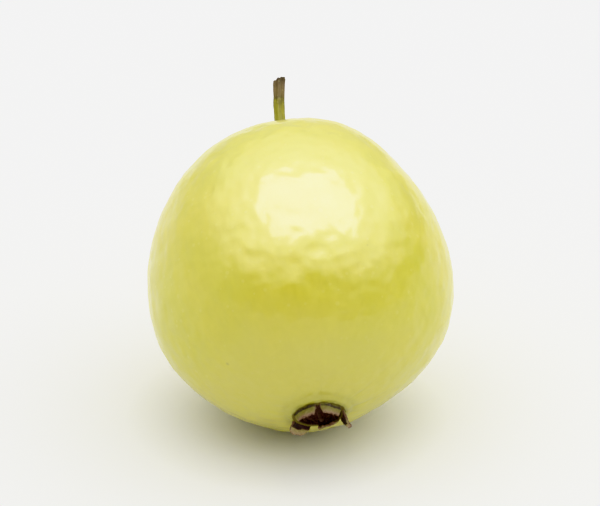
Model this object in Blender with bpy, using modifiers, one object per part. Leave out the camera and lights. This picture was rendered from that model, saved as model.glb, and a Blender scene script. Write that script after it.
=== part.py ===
"""A guava at rest: a round fruit with its cut stem and its dry calyx crown.

Metres, +Z up. The origin is the middle of the small flat spot that the fruit rests on.
The fruit, its stem and its crown are modelled about the fruit's own axis, stem end up,
and one empty at the fruit's middle leans them all over together. The crown's pieces are
modelled upright in a frame of their own, which a second empty turns over to the far end.
"""

import math

import bmesh
import bpy
from mathutils import Matrix, Vector

# The fruit
FRUIT_WIDTH = 0.0652
FRUIT_LENGTH = 0.0688
FRUIT_LEAN = math.radians(56.8)  # the stem end, from upright
FRUIT_HEADING = math.radians(98.3)  # the way it leans, from +X
REST_SPOT_WIDTH = 0.012

# Where the skin swells or is flat: polar angle from the stem, angle around, reach, height
SWELLS = (
    (30, -150, 20, 0.0007),
    (60, -114, 28, -0.0010),
    (40, 118, 20, 0.0002),
    (107, 73, 24, 0.0011),
    (114, -88, 26, 0.0010),
    (145, -54, 20, -0.0010),
    (60, 30, 32, 0.0008),
    (88, -20, 28, -0.0007),
    (120, 150, 26, 0.0004),
)
RIB_COUNT = 5
RIB_HEIGHT = 0.00012

# The stem and the dimple it stands in
STEM_LENGTH = 0.0175
STEM_WIDTH = 0.0024
STEM_FOOT_WIDTH = 0.0036
STEM_END_WIDTH = 0.0028
STEM_FOOT_FLARE = 6  # how suddenly the stem widens at its foot
STEM_END_FLARE = 5  # and at its cut end
STEM_BEND = 0.0021  # how far its cut end stands to one side
STEM_BEND_HEADING = math.radians(-150.0)
DIMPLE_DEPTH = 0.0014
DIMPLE_REACH = 0.0048
STEM_SEAT_DEPTH = 0.0006

# The calyx crown at the other end, on a low collar in a shallow basin
BASIN_DEPTH = 0.0015
BASIN_REACH = 0.0105
COLLAR_LAND = 0.0013  # the collar's flat top, from the disc's recess to its outer edge
COLLAR_HEIGHT = 0.0008
COLLAR_SLOPE = 0.0020
COLLAR_FACED = 0.0002  # taken off the collar's top to make it flat
DISC_WIDTH = 0.0082
DISC_THICKNESS = 0.0008
DISC_DISH = 0.0004
DISC_FLOOR_SHARE = 0.45  # of the radius: where the dish's floor ends
DISC_RIM_SHARE = 0.85  # and where it meets the rim
DISC_EDGE_DROP = 0.00016  # how far the rim's outer edge slopes down
DISC_DROP = 0.0004  # its rim, below the collar's top
STYLE_WIDTH = 0.0009
STYLE_LENGTH = 0.0022
STYLE_TIP_SHARE = 0.6  # the tip's width, as a share of the foot's
STYLE_BEND = 0.0010
STYLE_BEND_HEADING = math.radians(30.0)
SEPAL_THICKNESS = 0.0006
SEPAL_TAPER = 3  # how late a sepal narrows towards its tip
# Each sepal's place around, the sector its foot takes, its height, its lean outwards at
# the foot and its curl outwards over its height, all in degrees and metres, and the
# blunt tip's width as a share of the foot's
SEPALS = (
    (34, 58, 0.0027, -10, -84, 0.74),
    (90, 46, 0.0038, 10, 22, 0.50),
    (153, 60, 0.0024, 2, -16, 0.74),
    (227, 68, 0.0023, 2, -14, 0.76),
    (322, 64, 0.0031, 48, 26, 0.70),
)

SEAT_GAP = 0.0003  # between pieces that touch
MERGE_DISTANCE = 0.00001
SHARP_ANGLE = math.radians(50)
SEARCH_REACH = 20  # degrees each way from straight down, in which the lowest point is sought
FRUIT_SEGMENTS = 56
FRUIT_RINGS = 42
RING_CROWDING = 0.09  # how much closer the rings stand at the fruit's ends
ROUND_SEGMENTS = 32
SEPAL_COLUMNS = 8
SEPAL_ROWS = 7

HALF_WIDTH = FRUIT_WIDTH / 2
HALF_LENGTH = FRUIT_LENGTH / 2
DISC_RECESS_RADIUS = DISC_WIDTH / 2 + SEAT_GAP
COLLAR_RADIUS = DISC_RECESS_RADIUS + COLLAR_LAND
SEPAL_RING_RADIUS = (DISC_RECESS_RADIUS + COLLAR_RADIUS) / 2


def clear_scene():
    for obj in list(bpy.data.objects):
        bpy.data.objects.remove(obj, do_unlink=True)


def new_collection(name):
    collection = bpy.data.collections.new(name)
    bpy.context.scene.collection.children.link(collection)
    return collection


def new_material(name, color, roughness):
    material = bpy.data.materials.new(name)
    material.use_nodes = True
    shader = material.node_tree.nodes["Principled BSDF"]
    shader.inputs["Base Color"].default_value = (*color, 1.0)
    shader.inputs["Roughness"].default_value = roughness
    shader.inputs["Metallic"].default_value = 0.0
    return material


def new_empty(name, collection, place):
    empty = bpy.data.objects.new(name, None)
    empty.empty_display_size = FRUIT_WIDTH / 4
    empty.matrix_world = place
    collection.objects.link(empty)
    return empty


def new_object(name, data, collection, parent, material=None):
    obj = bpy.data.objects.new(name, data)
    collection.objects.link(obj)
    obj.parent = parent
    if material:
        data.materials.append(material)
    return obj


def mesh_of(shape, name):
    """The bmesh as a mesh that is shaded smooth, with its hard edges kept."""
    mesh = bpy.data.meshes.new(name)
    shape.to_mesh(mesh)
    shape.free()
    mesh.shade_smooth()
    mesh.set_sharp_from_angle(angle=SHARP_ANGLE)
    return mesh


def unit(polar, around):
    return Vector((
        math.sin(polar) * math.cos(around),
        math.sin(polar) * math.sin(around),
        math.cos(polar),
    ))


def smooth_step(value):
    value = min(max(value, 0.0), 1.0)
    return value * value * (3 - 2 * value)


def swell_height(towards):
    """How far the skin stands out here, for all the swells and hollows together."""
    height = 0.0
    for polar, around, reach, peak in SWELLS:
        away = towards.angle(unit(math.radians(polar), math.radians(around)))
        height += peak * math.exp(-((away / math.radians(reach)) ** 2))
    return height


def skin_distance(polar, around):
    """From the fruit's middle to its skin."""
    oval = 1 / math.hypot(math.sin(polar) / HALF_WIDTH, math.cos(polar) / HALF_LENGTH)
    from_axis = oval * math.sin(polar)
    flank = smooth_step((from_axis - COLLAR_RADIUS) / HALF_WIDTH * 2)
    distance = oval + flank * swell_height(unit(polar, around))
    distance += flank * RIB_HEIGHT * math.cos(RIB_COUNT * around)
    if polar < math.pi / 2:
        return distance - DIMPLE_DEPTH * math.exp(-((from_axis / DIMPLE_REACH) ** 2))
    past_collar = (from_axis - COLLAR_RADIUS) / COLLAR_SLOPE
    distance += COLLAR_HEIGHT * (1 - smooth_step(past_collar))
    return distance - BASIN_DEPTH * math.exp(-((from_axis / BASIN_REACH) ** 2))


def collar_top():
    """The level of the collar's flat top, along the axis from the fruit's middle."""
    off_axis = math.asin(COLLAR_RADIUS / HALF_WIDTH)
    edge = skin_distance(math.pi - off_axis, 0.0) * math.cos(off_axis)
    return edge - COLLAR_FACED


def stem_seat_floor():
    return skin_distance(0.0, 0.0) - STEM_SEAT_DEPTH


def axis_leaning_over():
    """The fruit's axis as it lies, the skin's lowest point just under the origin."""
    lean = Matrix.Rotation(FRUIT_HEADING, 4, "Z") @ Matrix.Rotation(FRUIT_LEAN, 4, "Y")
    lowest = Vector((0, 0, 0))
    search = [math.radians(step) for step in range(-SEARCH_REACH, SEARCH_REACH + 1)]
    for off_polar in search:
        for around in search:
            polar = math.pi - FRUIT_LEAN + off_polar
            point = lean @ (unit(polar, around) * skin_distance(polar, around))
            lowest = min(lowest, point, key=lambda place: place.z)
    to_floor = -lowest.z
    spot_depth = to_floor - math.sqrt(to_floor**2 - (REST_SPOT_WIDTH / 2) ** 2)
    return Matrix.Translation((-lowest.x, -lowest.y, to_floor - spot_depth)) @ lean


def spread_to_ends(share):
    """Rings from pole to pole, closer together at both ends."""
    return math.pi * (share - RING_CROWDING * math.sin(2 * math.pi * share))


def fruit_mesh():
    shape = bmesh.new()
    bmesh.ops.create_uvsphere(
        shape, u_segments=FRUIT_SEGMENTS, v_segments=FRUIT_RINGS, radius=1.0
    )
    for vert in shape.verts:
        share = math.acos(max(-1.0, min(1.0, vert.co.z))) / math.pi
        polar = spread_to_ends(share)
        around = math.atan2(vert.co.y, vert.co.x)
        vert.co = unit(polar, around) * skin_distance(polar, around)
    return mesh_of(shape, "fruit")


def drum_mesh(name, radius, low, high):
    """A drum about the axis, from one level to another."""
    shape = bmesh.new()
    bmesh.ops.create_cone(
        shape,
        cap_ends=True,
        segments=ROUND_SEGMENTS,
        radius1=radius,
        radius2=radius,
        depth=high - low,
        matrix=Matrix.Translation((0, 0, (low + high) / 2)),
    )
    return mesh_of(shape, name)


def floor_mesh():
    """What lies under the floor: cutting it off leaves the flat spot."""
    side = 2 * FRUIT_WIDTH
    shape = bmesh.new()
    place = Matrix.Translation((0, 0, -side / 2)) @ Matrix.Scale(side, 4)
    bmesh.ops.create_cube(shape, size=1.0, matrix=place)
    return mesh_of(shape, "floor_cutter")


def cut(obj, cutter):
    cutter.hide_render = True
    cutter.display_type = "WIRE"
    boolean = obj.modifiers.new(cutter.name, "BOOLEAN")
    boolean.operation = "DIFFERENCE"
    boolean.object = cutter


def add_fruit(parts, cutters, axis, crown, material):
    fruit = new_object("fruit", fruit_mesh(), parts, axis, material)

    floor_cutter = new_object("floor_cutter", floor_mesh(), cutters, None)
    cut(fruit, floor_cutter)

    seat_radius = STEM_FOOT_WIDTH / 2 + SEAT_GAP
    seat = drum_mesh("stem_seat", seat_radius, stem_seat_floor(), FRUIT_LENGTH)
    cut(fruit, new_object("stem_seat", seat, cutters, axis))

    facing = drum_mesh("collar_facing", 2 * COLLAR_RADIUS, 0.0, FRUIT_LENGTH)
    cut(fruit, new_object("collar_facing", facing, cutters, crown))

    floor = -DISC_DROP - DISC_THICKNESS - DISC_DISH - SEAT_GAP
    recess = drum_mesh("disc_recess", DISC_RECESS_RADIUS, floor, FRUIT_LENGTH)
    cut(fruit, new_object("disc_recess", recess, cutters, crown))


def tube(name, points, widths):
    """A curve through the points whose round section has these widths, capped at both ends."""
    curve = bpy.data.curves.new(name, "CURVE")
    curve.dimensions = "3D"
    curve.bevel_depth = widths[0] / 2
    curve.bevel_resolution = 3
    curve.use_fill_caps = True
    spline = curve.splines.new("POLY")
    spline.points.add(len(points) - 1)
    for point, place, width in zip(spline.points, points, widths):
        point.co = (*place, 1.0)
        point.radius = width / widths[0]
    return curve


def bent_line(length, bend, heading, steps):
    """Points up an upright line that bends over to one side towards its end."""
    shares = [step / steps for step in range(steps + 1)]
    return [
        (
            bend * share**2 * math.cos(heading),
            bend * share**2 * math.sin(heading),
            length * share,
        )
        for share in shares
    ]


def add_stem(parts, axis, material):
    steps = 12
    points = bent_line(STEM_LENGTH, STEM_BEND, STEM_BEND_HEADING, steps)
    foot, end = STEM_FOOT_WIDTH - STEM_WIDTH, STEM_END_WIDTH - STEM_WIDTH
    widths = [
        STEM_WIDTH
        + foot * (1 - step / steps) ** STEM_FOOT_FLARE
        + end * (step / steps) ** STEM_END_FLARE
        for step in range(steps + 1)
    ]
    stem = new_object("stem", tube("stem", points, widths), parts, axis, material)
    stem.location.z = stem_seat_floor() + SEAT_GAP


def add_calyx_disc(parts, crown, material):
    """A dry dished disc, turned from its section down the outer side and back to the middle."""
    radius = DISC_WIDTH / 2
    section = (
        (0.0, -DISC_DISH),
        (radius * DISC_FLOOR_SHARE, -DISC_DISH),
        (radius * DISC_RIM_SHARE, 0.0),
        (radius, -DISC_EDGE_DROP),
        (radius, -DISC_THICKNESS - DISC_DISH),
        (0.0, -DISC_THICKNESS - DISC_DISH),
    )
    mesh = bpy.data.meshes.new("calyx_disc")
    edges = [(corner, corner + 1) for corner in range(len(section) - 1)]
    mesh.from_pydata([(x, 0.0, z) for x, z in section], edges, [])
    disc = new_object("calyx_disc", mesh, parts, crown, material)
    disc.location.z = -DISC_DROP
    screw = disc.modifiers.new("turned", "SCREW")
    screw.steps = screw.render_steps = ROUND_SEGMENTS
    screw.use_merge_vertices = True
    screw.merge_threshold = MERGE_DISTANCE


def add_style(parts, crown, material):
    steps = 6
    points = bent_line(STYLE_LENGTH, STYLE_BEND, STYLE_BEND_HEADING, steps)
    narrowing = (1 - STYLE_TIP_SHARE) / steps
    widths = [STYLE_WIDTH * (1 - narrowing * step) for step in range(steps + 1)]
    style = new_object("style", tube("style", points, widths), parts, crown, material)
    style.location.z = -DISC_DROP - DISC_DISH + SEAT_GAP


def curled_line(length, lean, curl):
    """How far a line rises and reaches outwards that leans at its foot and then curls."""
    steps = 12
    rise, reach = 0.0, 0.0
    for step in range(steps):
        turn = lean + curl * step / steps
        rise += length / steps * math.cos(turn)
        reach += length / steps * math.sin(turn)
    return rise, reach


def sepal_mesh(name, sector, height, lean, curl, tip_share):
    """A lobe that follows the ring at its foot, narrows to a blunt tip and curls as it rises."""
    shape = bmesh.new()
    bmesh.ops.create_grid(
        shape, x_segments=SEPAL_COLUMNS, y_segments=SEPAL_ROWS, size=1.0
    )
    for vert in shape.verts:
        across = vert.co.x
        up = (vert.co.y + 1) / 2
        around = across * sector / 2 * (1 - (1 - tip_share) * up**SEPAL_TAPER)
        rise, reach = curled_line(height * up, lean, curl * up)
        radius = SEPAL_RING_RADIUS + reach
        vert.co = (radius * math.cos(around), radius * math.sin(around), rise)
    return mesh_of(shape, name)


def add_sepal(index, parts, crown, material):
    around, sector, height, lean, curl, tip_share = SEPALS[index]
    around, sector, lean, curl = map(math.radians, (around, sector, lean, curl))
    name = f"sepal_{index + 1}"
    mesh = sepal_mesh(name, sector, height, lean, curl, tip_share)
    sepal = new_object(name, mesh, parts, crown, material)
    sepal.rotation_euler.z = around
    # A leaning lobe's thickness dips below its foot line, so it stands that much higher.
    sepal.location.z = SEAT_GAP + SEPAL_THICKNESS / 2 * math.sin(abs(lean))
    wall = sepal.modifiers.new("wall", "SOLIDIFY")
    wall.thickness = SEPAL_THICKNESS
    wall.offset = 0.0


def main():
    clear_scene()
    parts = new_collection("guava")
    cutters = new_collection("guava_cutters")

    skin = new_material("skin", (0.56, 0.53, 0.09), 0.35)
    bark = new_material("stem", (0.33, 0.30, 0.10), 0.75)
    dry_sepal = new_material("sepal", (0.24, 0.20, 0.08), 0.8)
    dark_disc = new_material("calyx_disc", (0.03, 0.008, 0.006), 0.85)
    dark_style = new_material("style", (0.06, 0.025, 0.015), 0.85)

    axis = new_empty("fruit_axis", parts, axis_leaning_over())
    over = Matrix.Rotation(math.pi, 4, "X") @ Matrix.Translation((0, 0, collar_top()))
    crown = new_empty("crown_axis", parts, axis.matrix_world @ over)

    add_fruit(parts, cutters, axis, crown, skin)
    add_stem(parts, axis, bark)
    add_calyx_disc(parts, crown, dark_disc)
    add_style(parts, crown, dark_style)
    for index in range(len(SEPALS)):
        add_sepal(index, parts, crown, dry_sepal)


main()
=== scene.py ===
import math
import random

import bmesh
import bpy
from mathutils import Matrix, Vector, noise


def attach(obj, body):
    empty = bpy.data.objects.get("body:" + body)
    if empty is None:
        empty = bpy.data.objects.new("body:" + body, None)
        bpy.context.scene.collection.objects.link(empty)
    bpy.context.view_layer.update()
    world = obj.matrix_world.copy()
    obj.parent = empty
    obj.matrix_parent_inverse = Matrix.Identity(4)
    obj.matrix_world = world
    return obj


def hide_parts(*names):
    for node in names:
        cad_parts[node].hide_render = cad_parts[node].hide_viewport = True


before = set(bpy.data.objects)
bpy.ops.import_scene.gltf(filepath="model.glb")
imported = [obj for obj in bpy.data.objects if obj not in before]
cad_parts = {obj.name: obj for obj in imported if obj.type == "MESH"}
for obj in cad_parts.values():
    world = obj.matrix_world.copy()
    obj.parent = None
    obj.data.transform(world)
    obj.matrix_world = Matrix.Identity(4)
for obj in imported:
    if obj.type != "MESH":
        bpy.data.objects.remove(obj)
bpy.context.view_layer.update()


# how the fruit lies: its middle, and its axis from the crown end to the stem end

lieSet = {
    "stemFootLevel": 0.0327,  # along the axis, from the fruit's middle
    "footSlice": 0.0002,  # how much of the stem's lower end counts as its foot
    "collarRing": (0.0043, 0.0058),  # the ring that the sepals stand on, inner and outer radius
}


def nodePoints(name):
    return [vert.co.copy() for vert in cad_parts[name].data.vertices]


def middleOf(points):
    return sum(points, Vector()) / len(points)


def findFruitPlace():
    disc = middleOf(nodePoints("calyx_disc"))
    stem = nodePoints("stem")
    roughAxis = (middleOf(stem) - disc).normalized()
    lowest = min(point.dot(roughAxis) for point in stem)
    foot = middleOf([p for p in stem if p.dot(roughAxis) < lowest + lieSet["footSlice"]])
    axis = (foot - disc).normalized()
    sideways = (axis * axis.z - Vector((0, 0, 1))).normalized()
    place = Matrix((sideways, axis.cross(sideways), axis)).transposed().to_4x4()
    place.translation = foot - axis * lieSet["stemFootLevel"]
    return place


fruitPlace = findFruitPlace()
inner, outer = lieSet["collarRing"]
upright = [fruitPlace.inverted() @ point for point in nodePoints("fruit")]
collarTop = -min(p.z for p in upright if inner < math.hypot(p.x, p.y) < outer)
crownPlace = fruitPlace @ Matrix.Rotation(math.pi, 4, "X") @ Matrix.Translation((0, 0, collarTop))
print("fruit middle", [round(v, 4) for v in fruitPlace.translation], "collar", round(collarTop, 5))


# small helpers for modelling

def deselectAll():
    if bpy.context.mode != "OBJECT":
        bpy.ops.object.mode_set(mode="OBJECT")
    bpy.ops.object.select_all(action="DESELECT")


def pick(piece):
    deselectAll()
    piece.select_set(True)
    bpy.context.view_layer.objects.active = piece


def startCircle(name, sides, radius, fill="NOTHING", place=(0, 0, 0)):
    deselectAll()
    bpy.ops.mesh.primitive_circle_add(vertices=sides, radius=radius, fill_type=fill, location=place)
    piece = bpy.context.object
    piece.name = piece.data.name = name
    bpy.ops.object.transform_apply(location=True, rotation=True, scale=True)
    bpy.ops.object.mode_set(mode="EDIT")
    return piece


def selectWhere(piece, test):
    form = bmesh.from_edit_mesh(piece.data)
    for vert in form.verts:
        vert.select = test(vert.co)
    form.select_flush_mode()
    bmesh.update_edit_mesh(piece.data)


def selectedMiddle(piece):
    form = bmesh.from_edit_mesh(piece.data)
    return middleOf([vert.co for vert in form.verts if vert.select])


def applyModifiers(piece):
    pick(piece)
    for modifier in list(piece.modifiers):
        bpy.ops.object.modifier_apply(modifier=modifier.name)


def displace(piece, strength, level, **settings):
    modifier = piece.modifiers.new("displace", "DISPLACE")
    modifier.strength = strength
    modifier.mid_level = level
    for name, value in settings.items():
        setattr(modifier, name, value)
    applyModifiers(piece)


def roughen(piece, lumpSize, strength, depth):
    texture = bpy.data.textures.new(piece.name + "Lumps", "CLOUDS")
    texture.noise_scale = lumpSize
    texture.noise_depth = depth
    displace(piece, strength, 0.5, texture=texture, texture_coords="LOCAL")


def raiseBy(piece, heightAt):
    heights = [heightAt(vert.co) for vert in piece.data.vertices]
    peak = max(map(abs, heights))
    for sign in (1, -1):
        group = piece.vertex_groups.new(name="raised")
        for index, height in enumerate(heights):
            if sign * height > 0:
                group.add([index], sign * height / peak, "REPLACE")
        displace(piece, sign * peak, 0.0, vertex_group="raised")
        piece.vertex_groups.remove(piece.vertex_groups["raised"])


def subdivide(piece, levels):
    modifier = piece.modifiers.new("smooth", "SUBSURF")
    modifier.levels = modifier.render_levels = levels
    applyModifiers(piece)


def settle(piece, matrix):
    pick(piece)
    piece.matrix_world = matrix @ piece.matrix_world
    bpy.ops.object.transform_apply(location=True, rotation=True, scale=True)


def joinAll(pieces, name):
    pick(pieces[0])
    for piece in pieces:
        piece.select_set(True)
    bpy.ops.object.join()
    joined = bpy.context.object
    joined.name = joined.data.name = name
    return joined


def finishPiece(piece, node, material, smooth):
    piece.data.materials.clear()
    piece.data.materials.append(material)
    pick(piece)
    bpy.ops.object.shade_smooth_by_angle(angle=math.radians(smooth))
    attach(piece, "root")
    if node:
        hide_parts(node)
    print(piece.name, "done,", len(piece.data.polygons), "faces")


def unitTowards(polar, around):
    return Vector((
        math.sin(polar) * math.cos(around),
        math.sin(polar) * math.sin(around),
        math.cos(polar),
    ))


def smoothStep(value):
    value = min(max(value, 0.0), 1.0)
    return value * value * (3 - 2 * value)


def bellAt(value, peak, reach):
    return math.exp(-(((value - peak) / reach) ** 2))


def wobble(point, seed=0.0):
    return noise.noise(point + Vector((seed, seed, seed)))


# shader maths

class Wire:
    def __init__(self, paint, socket):
        self.paint = paint
        self.socket = socket

    def math(self, operation, first, second):
        return self.paint.node("Math", {"operation": operation}, {0: first, 1: second})

    def __add__(self, other):
        return self.math("ADD", self, other)

    def __radd__(self, other):
        return self.math("ADD", other, self)

    def __sub__(self, other):
        return self.math("SUBTRACT", self, other)

    def __rsub__(self, other):
        return self.math("SUBTRACT", other, self)

    def __mul__(self, other):
        return self.math("MULTIPLY", self, other)

    def __rmul__(self, other):
        return self.math("MULTIPLY", other, self)

    def __truediv__(self, other):
        return self.math("DIVIDE", self, other)

    def __pow__(self, other):
        return self.math("POWER", self, other)

    def atLeast(self, other):
        return self.math("MAXIMUM", self, other)


class Paint:
    def __init__(self, painted, shaderName="Principled BSDF"):
        painted.use_nodes = True
        self.material = painted
        self.tree = painted.node_tree
        self.shader = self.tree.nodes[shaderName]

    def node(self, kind, settings, inputs, output=0):
        made = self.tree.nodes.new("ShaderNode" + kind)
        for key, value in settings.items():
            if key == "stops":
                self.setStops(made.color_ramp.elements, value)
            else:
                setattr(made, key, value)
        for key, value in inputs.items():
            self.feed(made.inputs[key], value)
        return Wire(self, made.outputs[output])

    def setStops(self, elements, stops):
        for index, (position, color) in enumerate(stops):
            element = elements[index] if index < 2 else elements.new(position)
            element.position = position
            element.color = (*color, 1.0)

    def feed(self, socket, value):
        if isinstance(value, Wire):
            self.tree.links.new(value.socket, socket)
        elif isinstance(value, tuple) and socket.type == "RGBA":
            socket.default_value = (*value[:3], 1.0)
        else:
            socket.default_value = value

    def set(self, **values):
        for name, value in values.items():
            words = "".join(" " + letter if letter.isupper() else letter for letter in name)
            self.feed(self.shader.inputs[words.strip().replace("I O R", "IOR")], value)

    def within(self, place):
        turned = {"Location": place.translation, "Rotation": place.to_euler()}
        spot = self.node("TexCoord", {}, {}, "Object")
        return self.node("Mapping", {"vector_type": "TEXTURE"}, {"Vector": spot, **turned})

    def split(self, vector):
        made = self.node("SeparateXYZ", {}, {"Vector": vector}, "X")
        outputs = made.socket.node.outputs
        return [Wire(self, outputs[name]) for name in "XYZ"]

    def stretch(self, vector, factors):
        return self.node("VectorMath", {"operation": "MULTIPLY"}, {0: vector, 1: factors})

    def noise(self, vector, scale, detail=2.0, roughness=0.5):
        inputs = {"Vector": vector, "Scale": scale, "Detail": detail, "Roughness": roughness}
        return self.node("TexNoise", {}, inputs)

    def dots(self, vector, scale):
        return self.node("TexVoronoi", {}, {"Vector": vector, "Scale": scale}, "Distance")

    def ease(self, value, start, end, low=0.0, high=1.0):
        inputs = {"Value": value, "From Min": start, "From Max": end, "To Min": low, "To Max": high}
        return self.node("MapRange", {"interpolation_type": "SMOOTHSTEP"}, inputs)

    def ramp(self, value, stops):
        return self.node("ValToRGB", {"stops": stops}, {"Fac": value})

    def blend(self, factor, first, second):
        return self.node("Mix", {"data_type": "RGBA"}, {0: factor, 6: first, 7: second}, 2)

    def attribute(self, name):
        return self.node("Attribute", {"attribute_name": name}, {}, "Fac")

    def bump(self, height, distance):
        return self.node("Bump", {}, {"Height": height, "Distance": distance})


# the fruit's skin

skinSet = {
    "width": 0.0652,
    "length": 0.0688,
    "rings": 260,  # along the outline, from end to end
    "segments": 360,  # around the axis
    "crowding": 0.1,  # how much closer the rings are at both ends
    "dimple": (0.0014, 0.0048),  # depth and reach
    "basin": (0.0015, 0.0105),
    "collarRadius": 0.0057,
    "collarHeight": 0.0008,
    "collarSlope": 0.0020,
    "recessRadius": 0.0044,
    "recessDepth": 0.0019,
    "recessShare": 0.04,  # of the rings
    "recessTaper": 0.06,  # how much narrower it is at its floor
    "recessClosing": 2.2,  # how fast its floor closes towards the axis
    # polar angle from the stem, angle around, reach in degrees, height in metres
    "swells": (
        (30, -150, 20, 0.0007),
        (60, -114, 28, -0.0010),
        (40, 118, 20, 0.0002),
        (107, 73, 24, 0.0011),
        (114, -88, 26, 0.0010),
        (145, -54, 20, -0.0010),
        (60, 30, 32, 0.0008),
        (88, -20, 28, -0.0007),
        (120, 150, 26, 0.0004),
    ),
    "swellEdge": 0.25,  # how far from the crown they reach full height, of the width
    "ribs": (5, 0.00012),
    "lumps": (  # size, height and depth of detail
        (0.0090, 0.00036, 1),
        (0.0036, 0.00028, 1),
        (0.0017, 0.00012, 1),
    ),
    "stemCreases": (11, 0.00010, 0.0045),  # how many, height, where they are deepest
    "crownCreases": (13, 0.00010, 0.0100),
    "scar": (0.0026, 0.0005, 0.00022),  # the dry ring round the stem: radius, half width, height
    "crease": (0.0059, 0.0003, 0.00015),  # the sunk line round the crown's foot
    "mergeReach": 0.000002,
}


def skinDistance(polar):
    halfWidth, halfLength = skinSet["width"] / 2, skinSet["length"] / 2
    oval = 1 / math.hypot(math.sin(polar) / halfWidth, math.cos(polar) / halfLength)
    fromAxis = oval * math.sin(polar)
    if polar < math.pi / 2:
        depth, reach = skinSet["dimple"]
        return oval - depth * bellAt(fromAxis, 0, reach)
    depth, reach = skinSet["basin"]
    pastCollar = (fromAxis - skinSet["collarRadius"]) / skinSet["collarSlope"]
    oval += skinSet["collarHeight"] * (1 - smoothStep(pastCollar))
    return oval - depth * bellAt(fromAxis, 0, reach)


def outlinePoint(share):
    lipRadius = skinSet["recessRadius"]
    lipPolar = math.pi - math.asin(lipRadius / collarTop)
    skinShare = share / (1 - skinSet["recessShare"])
    if skinShare <= 1:
        polar = lipPolar * (skinShare - skinSet["crowding"] * math.sin(2 * math.pi * skinShare))
        distance = skinDistance(polar)
        return distance * math.sin(polar), distance * math.cos(polar)
    inside = (share - 1 + skinSet["recessShare"]) / skinSet["recessShare"]
    drop = skinSet["recessDepth"] * smoothStep(inside * 2)
    level = skinDistance(lipPolar) * math.cos(lipPolar) + drop
    closing = min(1.0, skinSet["recessClosing"] * (1 - inside))
    return lipRadius * (1 - skinSet["recessTaper"] * inside) * closing, level


def swellAt(point):
    towards = point.normalized()
    height = 0.0
    for polar, around, reach, peak in skinSet["swells"]:
        away = towards.angle(unitTowards(math.radians(polar), math.radians(around)))
        height += peak * math.exp(-((away / math.radians(reach)) ** 2))
    ribs, ribHeight = skinSet["ribs"]
    height += ribHeight * math.cos(ribs * math.atan2(point.y, point.x))
    fromAxis = math.hypot(point.x, point.y)
    pastCollar = (fromAxis - skinSet["collarRadius"]) / skinSet["width"]
    return height * smoothStep(pastCollar / skinSet["swellEdge"])


def endDetailAt(point):
    fromAxis = math.hypot(point.x, point.y)
    around = math.atan2(point.y, point.x)
    ring = Vector((math.cos(around), math.sin(around), 0))
    if point.z > 0:
        count, height, deepest = skinSet["stemCreases"]
        radius, halfWidth, lip = skinSet["scar"]
        rag = 1 + 0.25 * wobble(ring * 3) + 0.12 * wobble(ring * 9, 4.0)
        edge = lip * (0.7 + 0.8 * wobble(ring * 5, 9.0)) * bellAt(fromAxis / rag, radius, halfWidth)
    else:
        count, height, deepest = skinSet["crownCreases"]
        radius, halfWidth, sunk = skinSet["crease"]
        rag = 1 + 0.05 * wobble(ring * 4, 2.0)
        edge = -sunk * bellAt(fromAxis / rag, radius, halfWidth)
    turn = count * around + 1.6 * wobble(ring * 1.7, 6.0) + 0.4 * fromAxis / deepest
    fade = bellAt(math.log(max(fromAxis, 1e-5) / deepest), 0, 0.65)
    depth = 0.5 + 0.9 * wobble(ring * 2.6, 12.0)
    return edge + height * depth * fade * (abs(math.cos(turn / 2)) ** 0.5 - 0.75)


# how deep each point lies in the creases, used for the painted shade in them
def paintHollows(skin):
    depths = [max(-endDetailAt(vert.co), 0.0) for vert in skin.data.vertices]
    deepest = max(depths)
    skin.data.attributes.new("hollowShare", "FLOAT", "POINT")
    shares = [depth / deepest for depth in depths]
    skin.data.attributes["hollowShare"].data.foreach_set("value", shares)


def makeSkin():
    rings = skinSet["rings"]
    skin = startCircle("guavaSkin", 2 * rings, 1.0)
    selectWhere(skin, lambda co: co.x < -1e-4)
    bpy.ops.mesh.delete(type="VERT")
    form = bmesh.from_edit_mesh(skin.data)
    for vert in form.verts:  # the half circle becomes the fruit's outline
        share = math.atan2(max(vert.co.x, 0.0), vert.co.y) / math.pi
        radius, level = outlinePoint(share)
        vert.co = (radius, 0.0, level)
    bmesh.update_edit_mesh(skin.data)
    bpy.ops.mesh.select_all(action="SELECT")
    bpy.ops.mesh.spin(
        steps=skinSet["segments"], angle=2 * math.pi, center=(0, 0, 0), axis=(0, 0, 1)
    )
    bpy.ops.mesh.select_all(action="SELECT")
    bpy.ops.mesh.remove_doubles(threshold=skinSet["mergeReach"])
    bpy.ops.mesh.normals_make_consistent(inside=False)
    bpy.ops.object.mode_set(mode="OBJECT")
    print("skin spun", len(skin.data.vertices), "points")
    raiseBy(skin, swellAt)
    paintHollows(skin)
    raiseBy(skin, endDetailAt)
    for lumps in skinSet["lumps"]:
        roughen(skin, *lumps)
    settle(skin, fruitPlace)
    # the spot it rests on is pressed flat
    bpy.ops.object.mode_set(mode="EDIT")
    selectWhere(skin, lambda co: co.z < 0)
    bpy.ops.transform.resize(value=(1, 1, 0), center_override=(0, 0, 0))
    bpy.ops.object.mode_set(mode="OBJECT")
    return skin


skinColors = {
    "leaner": (0.570, 0.532, 0.031),
    "riper": (0.606, 0.546, 0.042),
    "patch": (0.65, 0.590, 0.08),
    "streak": (0.43, 0.42, 0.020),
    "pore": (0.78, 0.74, 0.30),
    "freckle": (0.16, 0.12, 0.03),
    # pale bloom, partly a painted sheen of the floor's light on the lower skin
    "bloomAndSheen": (0.590, 0.545, 0.095),
    # painted shade in the creases
    "creaseShade": (0.20, 0.19, 0.012),
    "stemEnd": (0.36, 0.40, 0.05),
    "scar": (0.050, 0.030, 0.010),
    # painted shade: darker olive skin in the crown's basin
    "crownEnd": (0.30, 0.29, 0.02),
    # dried brown collar, darkened as painted shade where the sepals stand in it
    "collar": (0.090, 0.060, 0.010),
    "recess": (0.020, 0.005, 0.004),
}


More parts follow.
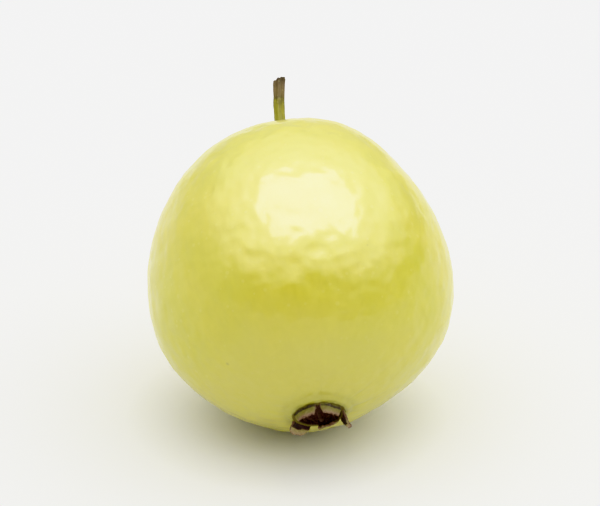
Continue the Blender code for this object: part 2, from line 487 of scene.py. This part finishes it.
def skinPaint():
    paint = Paint(bpy.data.materials.new("skin"))
    spot = paint.within(fruitPlace)
    x, y, z = paint.split(spot)
    fromAxis = (x * x + y * y) ** 0.5
    broad = paint.noise(spot, 38.0, 2.0)
    patches = paint.noise(spot, 150.0, 3.0, 0.55)
    streaks = paint.noise(paint.stretch(spot, (1.0, 1.0, 0.16)), 700.0, 2.0)
    color = paint.blend(paint.ease(broad, 0.36, 0.64), skinColors["leaner"], skinColors["riper"])
    color = paint.blend(paint.ease(patches, 0.42, 0.72, 0.0, 0.3), color, skinColors["patch"])
    color = paint.blend(paint.ease(streaks, 0.35, 0.7, 0.0, 0.10), color, skinColors["streak"])
    # pale pores
    pore = paint.dots(spot, 430.0)
    poreSize = paint.noise(spot, 300.0, 0.0)
    pores = paint.ease(pore / (poreSize + 0.01), 0.38, 0.16)
    color = paint.blend(pores * 0.09, color, skinColors["pore"])
    # a few brown freckles
    freckle = paint.dots(spot, 105.0)
    rare = paint.ease(paint.noise(spot, 60.0, 1.0), 0.52, 0.62)
    freckled = paint.ease(freckle, 0.055, 0.02) * rare * 0.55
    color = paint.blend(freckled, color, skinColors["freckle"])
    # a pale bloom towards the crown, partly a painted sheen of the floor's light, and painted shade in
    # the creases
    bloomAndSheen = paint.ease(z + (patches - 0.5) * 0.006, -0.018, -0.030, 0.0, 0.65)
    color = paint.blend(bloomAndSheen, color, skinColors["bloomAndSheen"])
    # painted shade: darker where the creases are deepest
    creaseShadeMask = paint.ease(paint.attribute("hollowShare"), 0.08, 0.7, 0.0, 0.25)
    color = paint.blend(creaseShadeMask, color, skinColors["creaseShade"])
    # the dry ring at the stem; the crown's collar, browned and darkened as painted shade where the
    # sepals stand; and the near-black recess round the disc
    ragged = paint.noise(spot, 900.0, 3.0)
    reach = fromAxis + (ragged - 0.5) * 0.0016
    stemEnd = paint.ease(z, 0.0, 0.01)
    crownEnd = 1 - stemEnd
    greener = paint.ease(reach, 0.0062, 0.0030, 0.0, 0.6) * stemEnd
    color = paint.blend(greener, color, skinColors["stemEnd"])
    scarred = paint.ease(reach, 0.0036, 0.0026) * stemEnd
    color = paint.blend(scarred, color, skinColors["scar"])
    # painted shade in the crown's basin round the crown
    basinShade = paint.ease(reach, 0.0090, 0.0060, 0.0, 0.4) * crownEnd
    color = paint.blend(basinShade, color, skinColors["crownEnd"])
    rim = fromAxis + (ragged - 0.5) * 0.0004
    # the collar's dried brown, with painted shade where the sepals stand in it
    brownAndShade = paint.ease(rim, 0.0059, 0.0055) * crownEnd
    color = paint.blend(brownAndShade * 0.9, color, skinColors["collar"])
    sunken = paint.ease(rim, 0.0050, 0.0046) * crownEnd
    color = paint.blend(sunken, color, skinColors["recess"])
    paint.set(
        BaseColor=color,
        Roughness=paint.ease(patches, 0.3, 0.7, 0.36, 0.46) + (brownAndShade + scarred) * 0.3,
        SubsurfaceWeight=0.12,
        SubsurfaceRadius=(1.0, 0.8, 0.3),
        SubsurfaceScale=0.003,
        SpecularIORLevel=0.35,
        CoatWeight=paint.ease(patches, 0.3, 0.7, 0.70, 0.58) * (1 - brownAndShade) * (1 - scarred),
        CoatRoughness=0.16,
        CoatIOR=1.75,
    )
    fine = paint.noise(spot, 1500.0, 2.0)
    paint.set(Normal=paint.bump(fine + pores * 0.5, 0.000012))
    return paint.material


finishPiece(makeSkin(), "fruit", skinPaint(), 60)


# the stem

stemSet = {
    "length": 0.0175,
    "width": 0.0024,
    "footWidth": 0.0036,
    "endWidth": 0.0028,
    "footFlare": 6,  # the higher, the closer to the foot it widens
    "endFlare": 5,
    "bend": 0.0021,
    "bendHeading": -150,
    "sunk": 0.0004,
    "sides": 48,
    "steps": 44,
    "cutBack": 0.0005,  # from the end of its line
    "cutTilt": (0.10, 0.32),  # of the cut end's plane, along x and y
    "cutRings": (  # each ring's size against the one outside it, and how far it sinks
        (0.96, -0.00006),
        (0.90, 0.0),
        (0.90, 0.00014),
        (0.62, -0.00003),
        (0.80, 0.00016),
        (0.40, 0.00004),
    ),
    "ridges": (9, 0.00009),
    "ridgeWander": 2.2,
    "knots": 1.4,  # their height against the ridges'
    "lumps": (0.0007, 0.00012, 2),
}


def stemWidth(share):
    foot = stemSet["footWidth"] - stemSet["width"]
    end = stemSet["endWidth"] - stemSet["width"]
    flare = foot * (1 - share) ** stemSet["footFlare"] + end * share ** stemSet["endFlare"]
    return stemSet["width"] + flare


def stemLine(share):
    heading = math.radians(stemSet["bendHeading"])
    side = stemSet["bend"] * share**2
    return Vector((side * math.cos(heading), side * math.sin(heading), stemSet["length"] * share))


def growStem():
    stem = startCircle("guavaStem", stemSet["sides"], stemWidth(0) / 2, "NGON", (0, 0, -stemSet["sunk"]))
    steps = stemSet["steps"]
    bpy.ops.mesh.select_all(action="SELECT")
    for step in range(steps):
        share, previous = (step + 1) / steps, step / steps
        move = stemLine(share) - stemLine(previous)
        if step == 0:
            move.z += stemSet["sunk"]
        bpy.ops.mesh.extrude_region_move(TRANSFORM_OT_translate={"value": move})
        wider = stemWidth(share) / stemWidth(previous)
        bpy.ops.transform.resize(value=(wider, wider, 1), center_override=selectedMiddle(stem))
    tiltX, tiltY = stemSet["cutTilt"]
    end = stemLine(1.0)
    bpy.ops.mesh.select_all(action="SELECT")
    bpy.ops.mesh.bisect(
        plane_co=end - Vector((0, 0, stemSet["cutBack"])),
        plane_no=(tiltX, tiltY, 1),
        use_fill=True,
        clear_outer=True,
    )
    # the cut end: a rounded rim of bark, a ring of wood and a sunk pith
    down = -Vector((tiltX, tiltY, 1)).normalized()
    for inwards, sink in stemSet["cutRings"]:
        bpy.ops.mesh.extrude_region_move(TRANSFORM_OT_translate={"value": down * sink})
        bpy.ops.transform.resize(value=(inwards,) * 3, center_override=selectedMiddle(stem))
    bpy.ops.mesh.select_all(action="SELECT")
    bpy.ops.mesh.normals_make_consistent(inside=False)
    bpy.ops.object.mode_set(mode="OBJECT")
    return stem


def barkAt(point):
    share = min(max(point.z / stemSet["length"], 0.0), 1.0)
    centre = stemLine(share)
    around = math.atan2(point.y - centre.y, point.x - centre.x)
    radius = math.hypot(point.y - centre.y, point.x - centre.x)
    ring = Vector((math.cos(around), math.sin(around), share * 0.8))
    ridges, height = stemSet["ridges"]
    onSide = smoothStep(radius / stemWidth(share) * 4 - 1)
    groove = math.cos(ridges * around + stemSet["ridgeWander"] * wobble(ring * 1.3))
    knots = wobble(Vector((ring.x * 2, ring.y * 2, share * 9)), 5.0)
    return onSide * height * (groove + stemSet["knots"] * knots)


def makeStem():
    stem = growStem()
    raiseBy(stem, barkAt)
    roughen(stem, *stemSet["lumps"])
    settle(stem, Matrix.Translation((0, 0, lieSet["stemFootLevel"])))
    settle(stem, fruitPlace)
    return stem


def stemPaint():
    paint = Paint(bpy.data.materials.new("stem"))
    spot = paint.within(fruitPlace)
    x, y, z = paint.split(spot)
    level = (z - lieSet["stemFootLevel"]) / stemSet["length"]
    grain = paint.noise(paint.stretch(spot, (1.0, 1.0, 0.18)), 1600.0, 3.0, 0.6)
    patches = paint.noise(spot, 420.0, 3.0, 0.6)
    height = level + (patches - 0.5) * 0.28
    color = paint.ramp(height, (
        (0.0, (0.08, 0.055, 0.015)),
        (0.10, (0.15, 0.13, 0.022)),
        (0.30, (0.26, 0.25, 0.020)),
        (0.62, (0.27, 0.25, 0.022)),
        (0.69, (0.10, 0.078, 0.016)),
        (0.80, (0.19, 0.135, 0.052)),
        (0.94, (0.12, 0.082, 0.038)),
        (1.0, (0.060, 0.040, 0.022)),
    ))
    color = paint.blend(paint.ease(grain, 0.40, 0.75, 0.0, 0.55), color, (0.13, 0.10, 0.03))
    warts = paint.ease(paint.dots(spot, 900.0), 0.28, 0.12)
    color = paint.blend(warts * 0.3, color, (0.42, 0.36, 0.14))
    paint.set(
        BaseColor=color,
        Roughness=paint.ease(patches, 0.3, 0.7, 0.55, 0.75),
        SpecularIORLevel=0.2,
        Normal=paint.bump(grain + warts * 0.5, 0.00008),
    )
    return paint.material


finishPiece(makeStem(), "stem", stemPaint(), 50)


# the crown's dry disc, style and old stamens

discSet = {
    "radius": 0.0041,
    "drop": 0.0004,
    "thickness": 0.0008,
    "dish": 0.0004,
    "sides": 96,
    "dishSteps": (  # each inset's width as a share of the radius, and its rise as one of the dish
        (0.1, 0.0),
        (0.12, -0.12),
        (0.16, -0.4),
        (0.2, -0.35),
        (0.2, -0.05),
    ),
    "edgeRound": 0.0001,
    "ridges": (24, 0.00010),
    "lumps": (0.0005, 0.00018, 2),
}


def ridgeAt(point):
    ridges, height = discSet["ridges"]
    around = math.atan2(point.y, point.x)
    share = math.hypot(point.x, point.y) / discSet["radius"]
    ring = Vector((math.cos(around), math.sin(around), share))
    fade = bellAt(share, 0.72, 0.3)
    groove = math.cos(ridges * around + 2 * wobble(ring * 2))
    return height * fade * (groove + wobble(ring * 7))


def makeDisc():
    radius = discSet["radius"]
    disc = startCircle("calyxDisc", discSet["sides"], radius, "NGON", (0, 0, -discSet["drop"]))
    bpy.ops.mesh.select_all(action="SELECT")
    for inset, rise in discSet["dishSteps"]:
        bpy.ops.mesh.inset(thickness=inset * radius, depth=rise * discSet["dish"])
    selectWhere(disc, lambda co: math.hypot(co.x, co.y) > radius * 0.99)
    bpy.ops.mesh.extrude_edges_move(
        TRANSFORM_OT_translate={"value": (0, 0, -discSet["thickness"])}
    )
    bpy.ops.mesh.edge_face_add()
    bpy.ops.mesh.select_all(action="SELECT")
    bpy.ops.mesh.normals_make_consistent(inside=False)
    bpy.ops.object.mode_set(mode="OBJECT")
    bevel = disc.modifiers.new("round", "BEVEL")
    bevel.width = discSet["edgeRound"]
    bevel.segments = 2
    applyModifiers(disc)
    subdivide(disc, 1)
    raiseBy(disc, ridgeAt)
    roughen(disc, *discSet["lumps"])
    settle(disc, crownPlace)
    return disc


def growThread(name, sides, radius, line, widths):
    thread = startCircle(name, sides, radius * widths[0], "NGON", line[0])
    bpy.ops.mesh.select_all(action="SELECT")
    for step in range(1, len(line)):
        move = line[step] - line[step - 1]
        bpy.ops.mesh.extrude_region_move(TRANSFORM_OT_translate={"value": move})
        wider = widths[step] / widths[step - 1]
        bpy.ops.transform.resize(value=(wider, wider, 1), center_override=selectedMiddle(thread))
    bpy.ops.mesh.select_all(action="SELECT")
    bpy.ops.mesh.normals_make_consistent(inside=False)
    bpy.ops.object.mode_set(mode="OBJECT")
    return thread


styleSet = {
    "sides": 20,
    "sunk": 0.0001,
    "length": 0.0022,
    "width": 0.0009,
    "bend": 0.0010,
    "bendHeading": 30,
    "widths": (1.3, 1.0, 0.9, 0.82, 0.76, 0.72, 0.70, 0.72, 0.95, 0.9, 0.4),
    "gapFilled": 0.0003,  # it reaches the disc, which the plain solid stands clear of
    "lumps": (0.0004, 0.00014, 2),
}


def makeStyle():
    steps = len(styleSet["widths"]) - 1
    heading = math.radians(styleSet["bendHeading"])
    foot = -discSet["drop"] - discSet["dish"] - styleSet["sunk"]
    line = []
    for step in range(steps + 1):
        share = step / steps
        side = styleSet["bend"] * share**2
        rise = foot + (styleSet["length"] + styleSet["gapFilled"]) * share
        line.append(Vector((side * math.cos(heading), side * math.sin(heading), rise)))
    style = growThread(
        "calyxStyle", styleSet["sides"], styleSet["width"] / 2, line, styleSet["widths"]
    )
    subdivide(style, 1)
    roughen(style, *styleSet["lumps"])
    settle(style, crownPlace)
    return style


stamenSet = {
    "count": 46,
    "spacing": (-0.4, 0.4),  # how far each is off its even place, of the gap between two
    "radius": (0.0031, 0.0041),
    "firstRadius": 0.0036,
    "sunk": 0.0002,
    "lean": (-55, 10),
    "tilt": (-30, 30),
    "turn": (120, 240),
    "length": (0.0010, 0.0024),
    "modelLength": 0.001,  # of the one that the others are copied from
    "bend": 0.25,
    "sides": 6,
    "thickness": 0.00012,
    "widths": (1.2, 1.0, 0.85, 0.7, 0.9, 0.6),
    "seed": 7,
}


def makeStamens():
    draw = random.Random(stamenSet["seed"])
    widths = stamenSet["widths"]
    modelLength = stamenSet["modelLength"]
    line = []
    for step in range(len(widths)):
        share = step / (len(widths) - 1)
        line.append(Vector((stamenSet["bend"] * share**2, 0, share)) * modelLength)
    first = growThread("stamens", stamenSet["sides"], stamenSet["thickness"], line, widths)
    foot = -discSet["drop"] - stamenSet["sunk"]
    threads = [first]
    for index in range(stamenSet["count"]):
        thread = first.copy()
        thread.data = first.data.copy()
        bpy.context.collection.objects.link(thread)
        around = 2 * math.pi * (index + draw.uniform(*stamenSet["spacing"])) / stamenSet["count"]
        stand = Vector((draw.uniform(*stamenSet["radius"]), 0, foot))
        thread.matrix_world = (
            Matrix.Rotation(around, 4, "Z")
            @ Matrix.Translation(stand)
            @ Matrix.Rotation(math.radians(draw.uniform(*stamenSet["lean"])), 4, "Y")
            @ Matrix.Rotation(math.radians(draw.uniform(*stamenSet["tilt"])), 4, "X")
            @ Matrix.Rotation(math.radians(draw.uniform(*stamenSet["turn"])), 4, "Z")
            @ Matrix.Diagonal((1, 1, draw.uniform(*stamenSet["length"]) / modelLength, 1))
        )
        threads.append(thread)
    first.matrix_world = Matrix.Translation((stamenSet["firstRadius"], 0, foot))
    stamens = joinAll(threads, "stamens")
    settle(stamens, crownPlace)
    return stamens


def crownPaint(name, dark, light, share):
    paint = Paint(bpy.data.materials.new(name))
    spot = paint.within(crownPlace)
    grit = paint.noise(spot, 1400.0, 3.0, 0.65)
    patches = paint.noise(spot, 420.0, 2.0)
    color = paint.blend(paint.ease(grit, 0.45, 0.75, 0.0, share), dark, light)
    color = paint.blend(paint.ease(patches, 0.5, 0.75, 0.0, 0.5), color, (0.012, 0.003, 0.003))
    paint.set(
        BaseColor=color,
        Roughness=paint.ease(patches, 0.3, 0.7, 0.6, 0.85),
        Normal=paint.bump(grit, 0.00008),
    )
    return paint.material


discPaint = crownPaint("calyxDisc", (0.040, 0.010, 0.008), (0.13, 0.05, 0.035), 0.5)
stylePaint = crownPaint("style", (0.055, 0.022, 0.014), (0.20, 0.12, 0.07), 0.6)
stamenPaint = crownPaint("stamens", (0.075, 0.028, 0.022), (0.30, 0.19, 0.13), 0.8)
finishPiece(makeDisc(), "calyx_disc", discPaint, 60)
finishPiece(makeStyle(), "style", stylePaint, 60)
finishPiece(makeStamens(), None, stamenPaint, 60)


# the sepals

sepalSet = {
    "ringRadius": 0.00505,
    "thickness": 0.00062,
    "rows": 9,
    "arcSides": 90,  # of the whole ring
    "sunk": 0.0005,
    # place around, sector of the foot, height, lean outwards at the foot, curl over its
    # height, the tip's width as a share of the foot's
    "lobes": (
        (34, 62, 0.0027, -10, -84, 0.74),
        (90, 50, 0.0038, 10, 22, 0.50),
        (153, 62, 0.0024, 2, -16, 0.74),
        (227, 72, 0.0023, 2, -14, 0.76),
        (322, 68, 0.0031, 48, 26, 0.70),
    ),
    "taper": 3,  # the higher, the closer to the tip it narrows
    "flatten": 0.98,  # from row to row
    "thinning": 0.55,  # from foot to tip
    "rag": 0.00012,
    "tornTip": 0.0006,
    "seed": 3,
    "lumps": ((0.0016, 0.00055, 1), (0.0006, 0.00028, 2)),
}


def lobeWidth(share, tip):
    return 1 - (1 - tip) * share ** sepalSet["taper"]


def growLobe(name, sector, height, lean, curl, tip, seed):
    lobe = startCircle(name, sepalSet["arcSides"], sepalSet["ringRadius"])
    half = math.radians(sector / 2)
    selectWhere(lobe, lambda co: abs(math.atan2(co.y, co.x)) > half)
    bpy.ops.mesh.delete(type="VERT")
    bpy.ops.mesh.select_all(action="SELECT")
    bpy.ops.transform.translate(value=(0, 0, -sepalSet["sunk"]))
    rows = sepalSet["rows"]
    for row in range(rows + 1):
        share, previous = row / rows, max(row - 1, 0) / rows
        turn = math.radians(lean + curl * previous)
        length = height / rows if row else sepalSet["sunk"]
        move = Vector((math.sin(turn), 0, math.cos(turn))) * length
        bpy.ops.mesh.extrude_edges_move(TRANSFORM_OT_translate={"value": move})
        narrower = lobeWidth(share, tip) / lobeWidth(previous, tip)
        bpy.ops.transform.resize(
            value=(sepalSet["flatten"], narrower, 1), center_override=selectedMiddle(lobe)
        )
    bpy.ops.transform.vertex_random(offset=sepalSet["tornTip"], seed=seed)  # the last row
    bpy.ops.mesh.select_all(action="SELECT")
    bpy.ops.transform.vertex_random(offset=sepalSet["rag"], seed=seed)
    bpy.ops.object.mode_set(mode="OBJECT")
    return lobe


def makeLobe(index):
    around, *shape = sepalSet["lobes"][index]
    lobe = growLobe(f"sepal{index + 1}", *shape, sepalSet["seed"] + index)
    middle = lobe.data.polygons[len(lobe.data.polygons) // 2]
    if middle.normal.x < 0:
        lobe.data.flip_normals()
    rise = lobe.vertex_groups.new(name="rise")
    thick = lobe.vertex_groups.new(name="thick")
    border = lobe.vertex_groups.new(name="border")
    lobe.vertex_groups.new(name="inside")
    perRow = len(lobe.data.vertices) // (sepalSet["rows"] + 2)
    for vert in lobe.data.vertices:
        row = vert.index // perRow
        share = max(row - 1, 0) / sepalSet["rows"]
        rise.add([vert.index], share, "REPLACE")
        thick.add([vert.index], 1 - sepalSet["thinning"] * share, "REPLACE")
    counts = {}
    for polygon in lobe.data.polygons:
        for edge in polygon.edge_keys:
            counts[edge] = counts.get(edge, 0) + 1
    for edge, count in counts.items():
        if count == 1:
            border.add(list(edge), 1.0, "REPLACE")
    wall = lobe.modifiers.new("wall", "SOLIDIFY")
    wall.thickness = sepalSet["thickness"]
    wall.offset = 0.0
    wall.vertex_group = "thick"
    wall.shell_vertex_group = "inside"
    applyModifiers(lobe)
    subdivide(lobe, 2)
    settle(lobe, Matrix.Rotation(math.radians(around), 4, "Z"))
    for lumps in sepalSet["lumps"]:
        roughen(lobe, *lumps)
    paintSides(lobe)
    settle(lobe, crownPlace)
    return lobe


def paintSides(lobe):
    shares = {}
    for name in ("inside", "rise", "border"):
        group = lobe.vertex_groups[name].index
        shares[name + "Share"] = [
            sum(entry.weight for entry in vert.groups if entry.group == group)
            for vert in lobe.data.vertices
        ]
    lobe.vertex_groups.clear()
    for name, values in shares.items():
        lobe.data.attributes.new(name, "FLOAT", "POINT")
        lobe.data.attributes[name].data.foreach_set("value", values)


def sepalPaint():
    paint = Paint(bpy.data.materials.new("sepal"))
    spot = paint.within(crownPlace)
    patches = paint.noise(spot, 480.0, 3.0, 0.6)
    grit = paint.noise(spot, 1800.0, 3.0, 0.6)
    rise = paint.attribute("riseShare") + (patches - 0.5) * 0.5
    # the outside's dry colours, darkened by about a third as painted shade
    outside = paint.ramp(rise, (
        (0.0, (0.035, 0.020, 0.005)),
        (0.07, (0.08, 0.065, 0.008)),
        (0.20, (0.175, 0.160, 0.022)),
        (0.66, (0.20, 0.165, 0.036)),
        (0.88, (0.25, 0.155, 0.085)),
        (1.0, (0.16, 0.080, 0.052)),
    ))
    insideColor = paint.ramp(rise, (
        (0.0, (0.014, 0.003, 0.003)),
        (0.24, (0.032, 0.007, 0.006)),
        (0.40, (0.13, 0.07, 0.035)),
        (0.60, (0.36, 0.31, 0.11)),
        (1.0, (0.40, 0.27, 0.17)),
    ))
    color = paint.blend(paint.attribute("insideShare"), outside, insideColor)
    edge = paint.ease(paint.attribute("borderShare") + (grit - 0.5) * 0.6, 0.55, 0.95, 0.0, 0.8)
    color = paint.blend(edge, color, (0.16, 0.085, 0.050))
    color = paint.blend(paint.ease(grit, 0.55, 0.8, 0.0, 0.5), color, (0.07, 0.035, 0.015))
    paint.set(
        BaseColor=color,
        Roughness=paint.ease(patches, 0.3, 0.7, 0.5, 0.8),
        Normal=paint.bump(grit + patches, 0.0001),
    )
    return paint.material


drySepal = sepalPaint()
for index in range(len(sepalSet["lobes"])):
    finishPiece(makeLobe(index), f"sepal_{index + 1}", drySepal, 70)


# floor, light and camera

studioSet = {
    "floorSize": 40.0,
    "floorColor": 0.85,
    "backdropColor": 1.145,
    # how bright the room is near the floor and above it, to the front, back, left and right
    "walls": ((0.58, 0.70, 1.05, 0.50), (0.14, 1.09, 1.20, 2.10)),
    "ceiling": 1.70,
    "wallEdges": ((0.12, 0.48), (0.62, 0.88)),  # where one turns into the next, as sines
    "lamps": {  # place, size, power in watts, turn and spread in degrees
        "core": ((0.085, -0.05, 0.66), (0.70, 0.52), 9.0, 5, 180),
        "halo": ((0.12, 0.22, 0.80), (3.0, 3.0), 37.0, 0, 130),
        "rightHalo": ((1.4, 0.1, 0.80), (1.4, 2.0), 15.8, 0, 130),
        "backHalo": ((0.0, 0.9, 0.80), (3.0, 1.6), 8.3, 0, 130),
    },
    "cameraElevation": 27,
    "cameraDistance": 0.50,
    "cameraRise": 0.0055,  # what it looks at, above the fruit's middle
    "lens": 139,
}


def makeFloor():
    deselectAll()
    bpy.ops.mesh.primitive_plane_add(size=studioSet["floorSize"])
    floor = bpy.context.object
    floor.name = "floor"
    paint = Paint(bpy.data.materials.new("floor"))
    value = studioSet["floorColor"]
    paint.set(BaseColor=(value, value, value), Roughness=1.0, SpecularIORLevel=0.0)
    floor.data.materials.append(paint.material)


def makeWorld():
    world = bpy.data.worlds.new("studio")
    bpy.context.scene.world = world
    paint = Paint(world, "Background")
    towards = paint.node("TexCoord", {}, {}, "Generated")
    x, y, z = paint.split(towards)
    level = (x * x + y * y + 1e-6) ** 0.5
    sides = [(side / level).atLeast(0.0) ** 2 for side in (0 - y, y, 0 - x, x)]
    lower, upper = [
        sum(share * bright for share, bright in zip(sides, wall)) for wall in studioSet["walls"]
    ]
    (lowEdge, midEdge), (highEdge, topEdge) = studioSet["wallEdges"]
    above = paint.ease(z, lowEdge, midEdge)
    overhead = paint.ease(z, highEdge, topEdge)
    fill = lower * (1 - above) + upper * above * (1 - overhead) + overhead * studioSet["ceiling"]
    seen = paint.node("LightPath", {}, {}, "Is Camera Ray")
    backdrop = (studioSet["backdropColor"],) * 3
    paint.set(Color=paint.blend(seen, fill, backdrop))


def addLamp(name, place, size, power, turn, spread):
    deselectAll()
    bpy.ops.object.light_add(type="AREA", location=place, rotation=(0, 0, math.radians(turn)))
    light = bpy.context.object
    light.name = name
    light.data.shape = "RECTANGLE"
    light.data.size, light.data.size_y = size
    light.data.energy = power
    light.data.spread = math.radians(spread)
    light.visible_diffuse = False
    light.visible_camera = False


def makeLights():
    for name, values in studioSet["lamps"].items():
        addLamp(name, *values)


def makeCamera():
    deselectAll()
    bpy.ops.object.camera_add()
    camera = bpy.context.object
    elevation = math.radians(studioSet["cameraElevation"])
    back = Vector((0, -math.cos(elevation), math.sin(elevation)))
    target = fruitPlace.translation + Vector((0, 0, studioSet["cameraRise"]))
    camera.location = target + back * studioSet["cameraDistance"]
    camera.rotation_euler = (-back).to_track_quat("-Z", "Y").to_euler()
    camera.data.lens = studioSet["lens"]
    bpy.context.scene.camera = camera


makeFloor()
makeWorld()
makeLights()
makeCamera()
bpy.context.scene.view_settings.view_transform = "Khronos PBR Neutral"
print("studio done")
